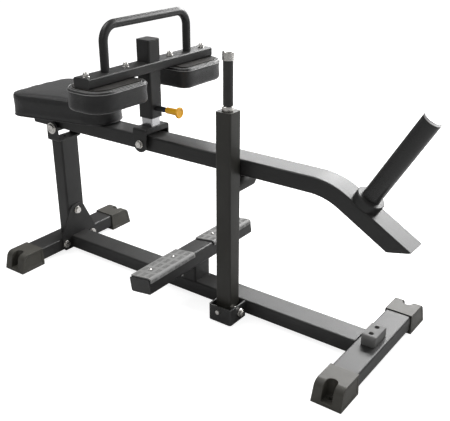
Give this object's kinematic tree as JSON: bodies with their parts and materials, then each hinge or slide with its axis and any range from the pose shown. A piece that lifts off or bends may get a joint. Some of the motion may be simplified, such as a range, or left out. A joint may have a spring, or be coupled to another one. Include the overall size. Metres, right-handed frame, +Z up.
{
  "type": "seated calf raise machine",
  "caption": "Seated calf raise machine: low tube base, rocking lever with seat, thigh pads on a sliding chrome post, swing-out catch and weight horn.",
  "frame": {"origin": "on the floor, under the middle of the machine's box", "axes": "+X toward the weight horn, +Y away from the catch's side, +Z up"},
  "size_m": [1.3876, 0.566, 0.847],
  "materials": {
    "powder_coat": "matte textured black powder coat",
    "zinc": "bright zinc plating",
    "chrome": "polished chrome",
    "plastic": "satin black plastic",
    "foot_plastic": "matte dark grey rubberised plastic",
    "gloss_sleeve": "gloss black sleeve",
    "bronze": "plain bronze",
    "board": "raw plywood",
    "leatherette": "black grained leatherette",
    "navy": "dark blue plastic ring",
    "knob_yellow": "satin yellow-orange plastic",
    "rubber": "matte black rubber"
  },
  "bodies": {
    "frame": {"rear_crossbar": "powder_coat", "front_crossbar": "powder_coat", "main_beam": "powder_coat", "junction_plate": "powder_coat", "junction_bolts": "zinc", "feet": "foot_plastic", "seat_post": "powder_coat", "post_clevis": "powder_coat", "pivot_axle": "zinc", "axle_caps": "zinc", "catch_bracket": "powder_coat", "catch_bolt": "zinc", "catch_spacers": "zinc", "catch_stop_screw": "zinc", "foot_rest_post": "powder_coat", "foot_rest_bar": "powder_coat", "foot_rest_caps": "plastic", "tread_pads": "rubber", "lever_bumper": "rubber", "small_screws": "zinc"},
    "lever": {"pivot_barrel": "powder_coat", "pivot_bushes": "bronze", "lever_tube": "powder_coat", "lever_rear_plug": "plastic", "lever_end_plate": "powder_coat", "horn_collar": "powder_coat", "horn_core": "zinc", "horn_sleeve": "gloss_sleeve", "horn_end_cap": "chrome", "seat_board": "board", "seat_cushion": "leatherette", "seat_bolts": "zinc", "mast_pivot_tube": "zinc"},
    "mast": {"mast_bracket": "powder_coat", "mast_bolt": "zinc", "post_fixing_bolt": "zinc", "inner_post": "chrome", "inner_post_glide": "plastic"},
    "pad_carriage": {"mast_sleeve": "powder_coat", "guide_bush": "plastic", "sleeve_cap": "plastic", "thigh_bar": "powder_coat", "thigh_bar_caps": "plastic", "handle": "powder_coat", "pad_boards": "board", "near_thigh_cushion": "leatherette", "far_thigh_cushion": "leatherette", "pad_bolts": "zinc", "pin_barrel": "plastic", "pin_ring": "navy", "pin_spring": "zinc"},
    "pin": {"pin_plunger": "zinc", "pin_knob": "knob_yellow"},
    "catch": {"catch_upright": "powder_coat", "catch_peg": "powder_coat", "catch_peg_sleeve": "powder_coat", "grip_rod": "zinc", "grip_collar": "zinc", "grip_sleeve": "rubber", "grip_cap": "zinc"}
  },
  "joints": [
    {"name": "lever_swing", "type": "hinge", "parent": "frame", "child": "lever", "pos_m": [-0.58344, 0, 0.447], "axis": [0, 1, 0], "range_deg": [-12, 0.95]},
    {"name": "mast_tilt", "type": "hinge", "parent": "lever", "child": "mast", "pos_m": [-0.19064, 0, 0.47], "axis": [0, 1, 0], "range_deg": [-12, 12]},
    {"name": "pad_height", "type": "slide", "parent": "mast", "child": "pad_carriage", "axis": [0, 0, 1], "range_m": [-0.025, 0.1]},
    {"name": "pin_pull", "type": "slide", "parent": "pad_carriage", "child": "pin", "axis": [1, 0, 0], "range_m": [-0.008, 0], "stiffness_N_per_m": 400, "springref_m": -0.008},
    {"name": "catch_swing", "type": "hinge", "parent": "frame", "child": "catch", "pos_m": [0.14306, -0.065, 0.031], "axis": [1, 0, 0], "range_deg": [0, 15]}
  ]
}
